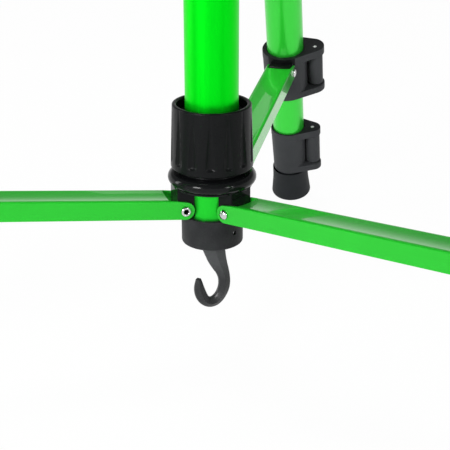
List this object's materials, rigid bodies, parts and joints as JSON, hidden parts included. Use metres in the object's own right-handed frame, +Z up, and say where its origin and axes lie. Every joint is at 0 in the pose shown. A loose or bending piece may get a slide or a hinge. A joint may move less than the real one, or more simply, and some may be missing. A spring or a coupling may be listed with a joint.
{
  "type": "tripod",
  "caption": "Folding tripod: sliding spreader hub with twist-lock collar and channel arms, telescopic flip-lock legs, elevating column and a weight hook.",
  "frame": {"origin": "on the centre tube axis, at the level of the floor that the three feet stand on", "axes": "+Z up along the centre tube, +Y along the first leg"},
  "size_m": [0.4696, 0.4141, 0.6748],
  "materials": {
    "green_aluminium": "bright green anodised, semi-gloss",
    "black_nylon": "moulded black nylon, satin",
    "plated_steel": "zinc-plated, semi-bright",
    "black_rubber": "matt black rubber"
  },
  "bodies": {
    "root": {"centre_tube": "green_aluminium", "end_cap": "black_nylon", "cap_pin": "plated_steel", "weight_hook": "black_nylon", "crown": "black_nylon", "leg_hinge_pin_1": "plated_steel", "leg_hinge_pin_2": "plated_steel", "leg_hinge_pin_3": "plated_steel"},
    "column": {"elevating_column": "green_aluminium", "platform": "black_nylon", "platform_pad": "black_rubber", "mounting_screw": "plated_steel"},
    "column_knob": {"column_knob": "black_nylon"},
    "hub": {"spreader_hub": "black_nylon", "collet": "black_nylon", "hub_rivet_1": "plated_steel", "hub_rivet_2": "plated_steel", "hub_rivet_3": "plated_steel"},
    "lock_collar": {"lock_collar": "black_nylon"},
    "arm_1": {"spreader_arm_1": "green_aluminium"},
    "leg_1": {"leg_rivet_1": "plated_steel", "leg_head_1": "black_nylon", "upper_tube_1": "green_aluminium", "upper_clamp_1": "black_nylon", "upper_lever_pin_1": "plated_steel"},
    "middle_1": {"middle_tube_1": "green_aluminium", "lower_clamp_1": "black_nylon", "lower_lever_pin_1": "plated_steel"},
    "lower_1": {"lower_tube_1": "green_aluminium", "foot_1": "black_rubber"},
    "upper_lever_1": {"upper_lever_1": "black_nylon"},
    "lower_lever_1": {"lower_lever_1": "black_nylon"},
    "arm_2": {"spreader_arm_2": "green_aluminium"},
    "leg_2": {"leg_rivet_2": "plated_steel", "leg_head_2": "black_nylon", "upper_tube_2": "green_aluminium", "upper_clamp_2": "black_nylon", "upper_lever_pin_2": "plated_steel"},
    "middle_2": {"middle_tube_2": "green_aluminium", "lower_clamp_2": "black_nylon", "lower_lever_pin_2": "plated_steel"},
    "lower_2": {"lower_tube_2": "green_aluminium", "foot_2": "black_rubber"},
    "upper_lever_2": {"upper_lever_2": "black_nylon"},
    "lower_lever_2": {"lower_lever_2": "black_nylon"},
    "arm_3": {"spreader_arm_3": "green_aluminium"},
    "leg_3": {"leg_rivet_3": "plated_steel", "leg_head_3": "black_nylon", "upper_tube_3": "green_aluminium", "upper_clamp_3": "black_nylon", "upper_lever_pin_3": "plated_steel"},
    "middle_3": {"middle_tube_3": "green_aluminium", "lower_clamp_3": "black_nylon", "lower_lever_pin_3": "plated_steel"},
    "lower_3": {"lower_tube_3": "green_aluminium", "foot_3": "black_rubber"},
    "upper_lever_3": {"upper_lever_3": "black_nylon"},
    "lower_lever_3": {"lower_lever_3": "black_nylon"}
  },
  "joints": [
    {"name": "hub_slide", "type": "slide", "parent": "root", "child": "hub", "axis": [0, 0, 1], "range_m": [0, 0.17704]},
    {"name": "collar_twist", "type": "hinge", "parent": "hub", "child": "lock_collar", "pos_m": [0, 0, 0.09205], "axis": [0, 0, 1], "range_deg": [0, 120]},
    {"name": "column_lift", "type": "slide", "parent": "root", "child": "column", "axis": [0, 0, 1], "range_m": [0, 0.27]},
    {"name": "column_lock", "type": "hinge", "parent": "root", "child": "column_knob", "pos_m": [0, -0.03, 0.6457], "axis": [0, -1, 0], "range_deg": [0, 180]},
    {"name": "arm_1_fold", "type": "hinge", "parent": "hub", "child": "arm_1", "pos_m": [0, 0.0171, 0.09205], "axis": [-1, 0, 0], "range_deg": [0, 85.09]},
    {"name": "leg_1_fold", "type": "hinge", "parent": "arm_1", "child": "leg_1", "pos_m": [0, 0.19966, 0.11156], "axis": [-1, 0, 0], "range_deg": [-69.69, 0]},
    {"name": "upper_lever_1_flip", "type": "hinge", "parent": "leg_1", "child": "upper_lever_1", "pos_m": [0.02041, 0.21879, 0.12635], "axis": [0, 0.3156, -0.9489], "range_deg": [0, 110]},
    {"name": "middle_1_slide", "type": "slide", "parent": "leg_1", "child": "middle_1", "axis": [0, 0.3156, -0.9489], "range_m": [0, 0.4]},
    {"name": "lower_lever_1_flip", "type": "hinge", "parent": "middle_1", "child": "lower_lever_1", "pos_m": [0.01758, 0.23725, 0.06178], "axis": [0, 0.3156, -0.9489], "range_deg": [0, 110]},
    {"name": "lower_1_slide", "type": "slide", "parent": "middle_1", "child": "lower_1", "axis": [0, 0.3156, -0.9489], "range_m": [0, 0.4]},
    {"name": "arm_2_fold", "type": "hinge", "parent": "hub", "child": "arm_2", "pos_m": [-0.01481, -0.00855, 0.09205], "axis": [0.5, -0.866, 0], "range_deg": [0, 85.09]},
    {"name": "leg_2_fold", "type": "hinge", "parent": "arm_2", "child": "leg_2", "pos_m": [-0.17291, -0.09983, 0.11156], "axis": [0.5, -0.866, 0], "range_deg": [-69.69, 0]},
    {"name": "upper_lever_2_flip", "type": "hinge", "parent": "leg_2", "child": "upper_lever_2", "pos_m": [-0.19968, -0.09172, 0.12635], "axis": [-0.2734, -0.1578, -0.9489], "range_deg": [0, 110]},
    {"name": "middle_2_slide", "type": "slide", "parent": "leg_2", "child": "middle_2", "axis": [-0.2734, -0.1578, -0.9489], "range_m": [0, 0.4]},
    {"name": "lower_lever_2_flip", "type": "hinge", "parent": "middle_2", "child": "lower_lever_2", "pos_m": [-0.21426, -0.1034, 0.06178], "axis": [-0.2734, -0.1578, -0.9489], "range_deg": [0, 110]},
    {"name": "lower_2_slide", "type": "slide", "parent": "middle_2", "child": "lower_2", "axis": [-0.2734, -0.1578, -0.9489], "range_m": [0, 0.4]},
    {"name": "arm_3_fold", "type": "hinge", "parent": "hub", "child": "arm_3", "pos_m": [0.01481, -0.00855, 0.09205], "axis": [0.5, 0.866, 0], "range_deg": [0, 85.09]},
    {"name": "leg_3_fold", "type": "hinge", "parent": "arm_3", "child": "leg_3", "pos_m": [0.17291, -0.09983, 0.11156], "axis": [0.5, 0.866, 0], "range_deg": [-69.69, 0]},
    {"name": "upper_lever_3_flip", "type": "hinge", "parent": "leg_3", "child": "upper_lever_3", "pos_m": [0.17927, -0.12707, 0.12635], "axis": [0.2734, -0.1578, -0.9489], "range_deg": [0, 110]},
    {"name": "middle_3_slide", "type": "slide", "parent": "leg_3", "child": "middle_3", "axis": [0.2734, -0.1578, -0.9489], "range_m": [0, 0.4]},
    {"name": "lower_lever_3_flip", "type": "hinge", "parent": "middle_3", "child": "lower_lever_3", "pos_m": [0.19667, -0.13385, 0.06178], "axis": [0.2734, -0.1578, -0.9489], "range_deg": [0, 110]},
    {"name": "lower_3_slide", "type": "slide", "parent": "middle_3", "child": "lower_3", "axis": [0.2734, -0.1578, -0.9489], "range_m": [0, 0.4]}
  ],
  "couplings": [
    {"joint": "arm_1_fold", "follows": "hub_slide", "rad_per_m": 8.3888},
    {"joint": "leg_1_fold", "follows": "hub_slide", "rad_per_m": -6.8706},
    {"joint": "arm_2_fold", "follows": "hub_slide", "rad_per_m": 8.3888},
    {"joint": "leg_2_fold", "follows": "hub_slide", "rad_per_m": -6.8706},
    {"joint": "arm_3_fold", "follows": "hub_slide", "rad_per_m": 8.3888},
    {"joint": "leg_3_fold", "follows": "hub_slide", "rad_per_m": -6.8706}
  ]
}
